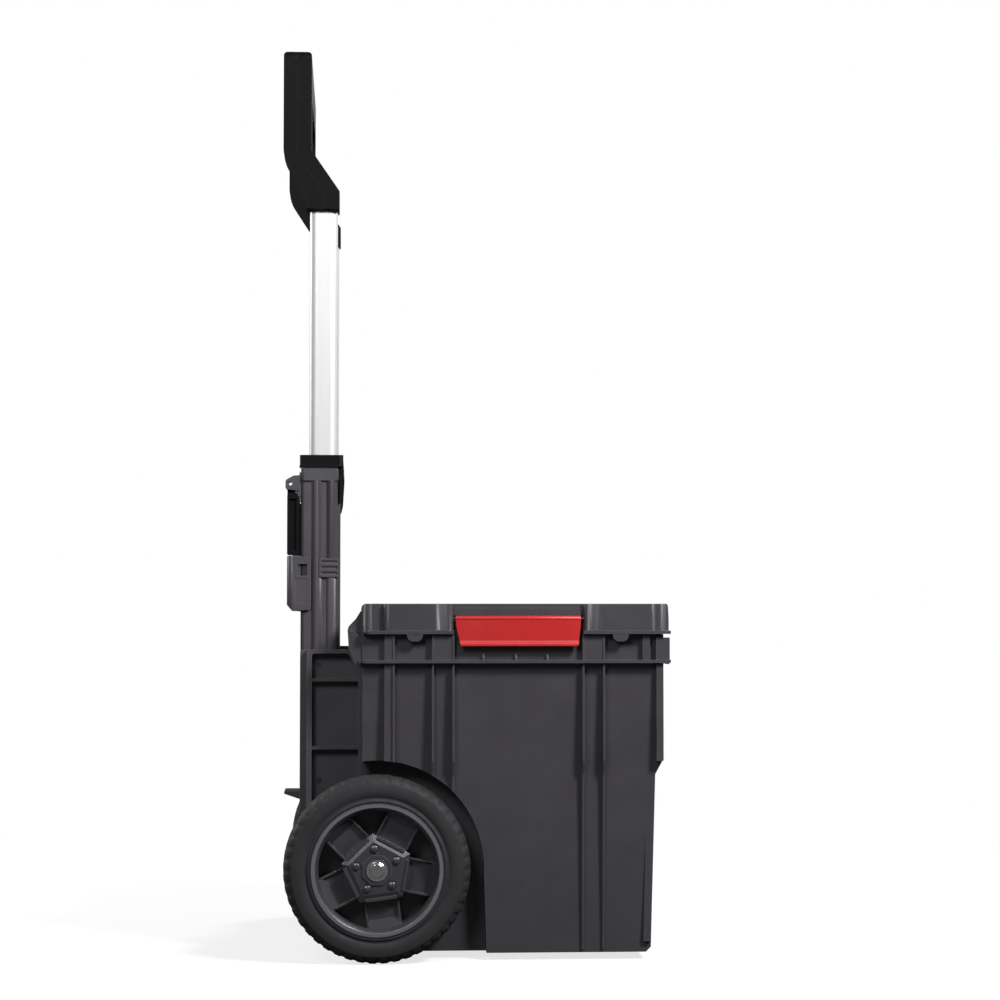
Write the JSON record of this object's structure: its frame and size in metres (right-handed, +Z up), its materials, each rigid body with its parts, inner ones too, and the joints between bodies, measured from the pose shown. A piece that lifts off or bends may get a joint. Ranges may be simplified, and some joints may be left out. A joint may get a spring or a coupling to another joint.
{
  "type": "rolling tool box",
  "caption": "Wheeled moulded tool box with a hinged lid, side latches, a rear two-column frame and a telescopic pull handle with a push-button release.",
  "frame": {"origin": "on the floor, under the middle of the whole object's box", "axes": "+X towards the box's front, away from the handle; +Y to its left side; +Z up"},
  "size_m": [0.421, 0.48, 0.997],
  "materials": {
    "black_plastic": "fine moulded grain, satin",
    "frame_plastic": "fine moulded grain, satin",
    "handle_plastic": "fine moulded grain, matt",
    "button_plastic": "smooth satin",
    "latch_red": "smooth satin",
    "tyre_rubber": "matt moulded rubber",
    "rim_plastic": "semi-gloss moulded",
    "rubber_foot": "matt rubber",
    "seal_rubber": "matt rubber",
    "nylon": "natural nylon",
    "anodised_tube": "satin silver anodised",
    "steel": "zinc plated, satin",
    "bright_pin": "bright plated",
    "spring_steel": "drawn wire",
    "black_oxide": "black oxide, satin"
  },
  "bodies": {
    "box": {"tub": "black_plastic", "front_feet": "rubber_foot", "foot_screws": "steel", "hinge_pins": "bright_pin", "axle": "steel", "axle_spacers": "steel", "axle_caps": "bright_pin", "axle_beam": "frame_plastic", "beam_screws": "steel", "column_left": "frame_plastic", "column_right": "frame_plastic", "collar_left": "handle_plastic", "collar_right": "handle_plastic", "clip_inserts": "frame_plastic", "side_plate_left": "frame_plastic", "side_plate_right": "frame_plastic", "back_panel": "frame_plastic", "top_brace": "frame_plastic", "frame_screws": "black_oxide", "lever_brackets": "frame_plastic", "lever_pins": "steel", "catch_blocks": "frame_plastic"},
    "lid": {"lid": "black_plastic", "lid_seal": "seal_rubber", "latch_pins": "black_oxide"},
    "latch_left": {"latch_left": "latch_red"},
    "latch_right": {"latch_right": "latch_red"},
    "wheel_left": {"tyre_left": "tyre_rubber", "rim_left": "rim_plastic", "hub_bushes_left": "nylon"},
    "wheel_right": {"tyre_right": "tyre_rubber", "rim_right": "rim_plastic", "hub_bushes_right": "nylon"},
    "handle": {"handle_back_shell": "handle_plastic", "handle_front_shell": "handle_plastic", "handle_screws": "steel", "tube_left": "anodised_tube", "tube_right": "anodised_tube", "guide_block_left": "nylon", "guide_block_right": "nylon", "button_spring": "spring_steel"},
    "release": {"release_button": "button_plastic", "release_yoke": "steel"},
    "lock_pin_left": {"lock_pin_left": "steel"},
    "lock_pin_right": {"lock_pin_right": "steel"},
    "strap_lever_left": {"strap_lever_left": "handle_plastic"},
    "strap_lever_right": {"strap_lever_right": "handle_plastic"}
  },
  "joints": [
    {"name": "wheel_left_spin", "type": "hinge", "parent": "box", "child": "wheel_left", "pos_m": [-0.106, 0.2165, 0.1], "axis": [0, 1, 0], "continuous": true},
    {"name": "wheel_right_spin", "type": "hinge", "parent": "box", "child": "wheel_right", "pos_m": [-0.106, -0.2165, 0.1], "axis": [0, 1, 0], "continuous": true},
    {"name": "lid_hinge", "type": "hinge", "parent": "box", "child": "lid", "pos_m": [-0.1335, 0, 0.354], "axis": [0, -1, 0], "range_deg": [0, 86]},
    {"name": "latch_left_hinge", "type": "hinge", "parent": "lid", "child": "latch_left", "pos_m": [0.045, 0.2205, 0.367], "axis": [1, 0, 0], "range_deg": [0, 110]},
    {"name": "latch_right_hinge", "type": "hinge", "parent": "lid", "child": "latch_right", "pos_m": [0.045, -0.2205, 0.367], "axis": [-1, 0, 0], "range_deg": [0, 110]},
    {"name": "handle_slide", "type": "slide", "parent": "box", "child": "handle", "axis": [0, 0, 1], "range_m": [-0.265, 0]},
    {"name": "release_button_press", "type": "slide", "parent": "handle", "child": "release", "axis": [0, 0, -1], "range_m": [0, 0.006], "stiffness_N_per_m": 900, "springref_m": -0.008, "deforming": ["button_spring"]},
    {"name": "lock_pin_left_slide", "type": "slide", "parent": "handle", "child": "lock_pin_left", "axis": [0, 1, 0], "range_m": [0, 0.003]},
    {"name": "lock_pin_right_slide", "type": "slide", "parent": "handle", "child": "lock_pin_right", "axis": [0, -1, 0], "range_m": [0, 0.003]},
    {"name": "strap_lever_left_hinge", "type": "hinge", "parent": "box", "child": "strap_lever_left", "pos_m": [-0.2015, 0.135, 0.5156], "axis": [0, 1, 0], "range_deg": [0, 110]},
    {"name": "strap_lever_right_hinge", "type": "hinge", "parent": "box", "child": "strap_lever_right", "pos_m": [-0.2015, -0.135, 0.5156], "axis": [0, 1, 0], "range_deg": [0, 110]}
  ],
  "couplings": [
    {"joint": "lock_pin_left_slide", "follows": "release_button_press", "ratio": 0.5},
    {"joint": "lock_pin_right_slide", "follows": "release_button_press", "ratio": 0.5}
  ]
}
